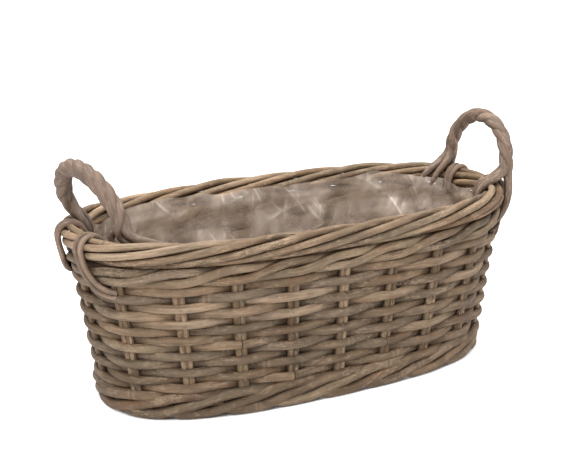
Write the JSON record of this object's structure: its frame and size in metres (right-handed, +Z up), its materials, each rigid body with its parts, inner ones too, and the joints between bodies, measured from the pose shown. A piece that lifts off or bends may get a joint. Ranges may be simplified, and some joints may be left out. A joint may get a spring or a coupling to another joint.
{
  "type": "planter basket",
  "caption": "Oval woven rattan planter basket with a rolled border, a rope handle at each end and a clear film liner.",
  "frame": {"origin": "on the floor, under the middle of the basket", "axes": "+X along the basket's length, towards the right handle; +Y across it, towards the back; +Z up"},
  "size_m": [0.5215, 0.2591, 0.2665],
  "materials": {
    "stake_rods": "weathered peeled rattan, matt",
    "row_rods": "weathered peeled rattan, matt",
    "wale_rods": "weathered peeled rattan, matt",
    "base_rods": "raw rattan, matt",
    "rope_strands": "weathered rattan laid as a rope, matt",
    "lashing_rods": "weathered rattan, matt",
    "liner_film": "clear crumpled film, glossy"
  },
  "bodies": {
    "root": {"stake_pair_01": "stake_rods", "stake_pair_02": "stake_rods", "stake_pair_03": "stake_rods", "stake_pair_04": "stake_rods", "stake_pair_05": "stake_rods", "stake_pair_06": "stake_rods", "stake_pair_07": "stake_rods", "stake_pair_08": "stake_rods", "stake_pair_09": "stake_rods", "stake_pair_10": "stake_rods", "stake_pair_11": "stake_rods", "stake_pair_12": "stake_rods", "stake_pair_13": "stake_rods", "stake_pair_14": "stake_rods", "stake_pair_15": "stake_rods", "stake_pair_16": "stake_rods", "stake_pair_17": "stake_rods", "stake_pair_18": "stake_rods", "stake_pair_19": "stake_rods", "stake_pair_20": "stake_rods", "wall_row_01": "row_rods", "wall_row_02": "row_rods", "wall_row_03": "row_rods", "wall_row_04": "row_rods", "wall_row_05": "row_rods", "wall_row_06": "row_rods", "wall_row_07": "row_rods", "wall_row_08": "row_rods", "wall_row_09": "row_rods", "wall_row_10": "row_rods", "wall_row_11": "row_rods", "wall_row_12": "row_rods", "wall_row_13": "row_rods", "foot_wale_1": "wale_rods", "foot_wale_2": "wale_rods", "foot_wale_3": "wale_rods", "foot_wale_4": "wale_rods", "top_wale_1": "wale_rods", "top_wale_2": "wale_rods", "top_wale_3": "wale_rods", "top_wale_4": "wale_rods", "base_weaver_1": "base_rods", "base_weaver_2": "base_rods", "base_sticks": "base_rods", "handle_left_strand_1": "rope_strands", "handle_left_strand_2": "rope_strands", "handle_left_strand_3": "rope_strands", "handle_right_strand_1": "rope_strands", "handle_right_strand_2": "rope_strands", "handle_right_strand_3": "rope_strands", "handle_left_lashing_front_1": "lashing_rods", "handle_left_lashing_front_2": "lashing_rods", "handle_left_lashing_back_1": "lashing_rods", "handle_left_lashing_back_2": "lashing_rods", "handle_right_lashing_front_1": "lashing_rods", "handle_right_lashing_front_2": "lashing_rods", "handle_right_lashing_back_1": "lashing_rods", "handle_right_lashing_back_2": "lashing_rods", "liner": "liner_film"}
  },
  "joints": []
}
